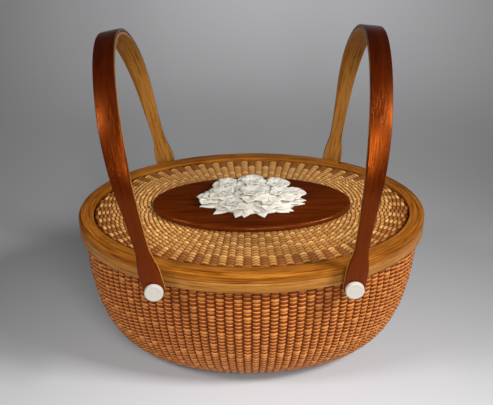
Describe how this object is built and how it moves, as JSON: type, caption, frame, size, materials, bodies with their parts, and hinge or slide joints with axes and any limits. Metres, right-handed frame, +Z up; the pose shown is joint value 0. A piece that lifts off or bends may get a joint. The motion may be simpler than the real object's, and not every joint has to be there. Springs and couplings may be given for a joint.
{
  "type": "covered oval basket",
  "caption": "Oval woven cane basket with bent-wood rims, a lift-off woven lid with a carved plaque, and two swing handles on turned knobs.",
  "frame": {"origin": "on the surface the basket stands on, under the middle of the oval", "axes": "+Z up, +X along the long side of the oval, +Y towards the back as pictured"},
  "size_m": [0.254, 0.1814, 0.2486],
  "materials": {
    "mahogany": "polished varnish",
    "pale_oak": "satin varnish",
    "lid_oak": "satin varnish",
    "body_cane": "aged, lightly varnished cane",
    "lid_cane": "aged, lightly varnished cane",
    "bone": "polished, bone-like",
    "brass": "plain rod"
  },
  "bodies": {
    "basket": {"base_board": "mahogany", "woven_wall": "body_cane", "rim_outer_hoop": "pale_oak", "rim_inner_hoop": "pale_oak", "front_left_pin": "brass", "front_right_pin": "brass", "back_left_pin": "brass", "back_right_pin": "brass", "front_left_spacer": "mahogany", "front_right_spacer": "mahogany", "back_left_spacer": "mahogany", "back_right_spacer": "mahogany", "front_left_knob": "bone", "front_right_knob": "bone", "back_left_knob": "bone", "back_right_knob": "bone"},
    "lid": {"lid_outer_hoop": "lid_oak", "lid_inner_hoop": "lid_oak", "lid_locating_hoop": "pale_oak", "lid_woven_top": "lid_cane", "lid_centre_plate": "mahogany", "plaque": "mahogany", "carved_spray": "bone"},
    "left_handle": {"left_handle_outer_strip": "mahogany", "left_handle_inner_strip": "pale_oak"},
    "right_handle": {"right_handle_outer_strip": "mahogany", "right_handle_inner_strip": "pale_oak"}
  },
  "joints": [
    {"name": "lid_lift", "type": "slide", "parent": "basket", "child": "lid", "axis": [0, 0, 1], "range_m": [0, 0.01]},
    {"name": "left_handle_swing", "type": "hinge", "parent": "basket", "child": "left_handle", "pos_m": [-0.0667, 0, 0.1], "axis": [0, -1, 0], "range_deg": [-35.5, 116]},
    {"name": "right_handle_swing", "type": "hinge", "parent": "basket", "child": "right_handle", "pos_m": [0.0667, 0, 0.1], "axis": [0, 1, 0], "range_deg": [-29.9, 121.6]}
  ]
}
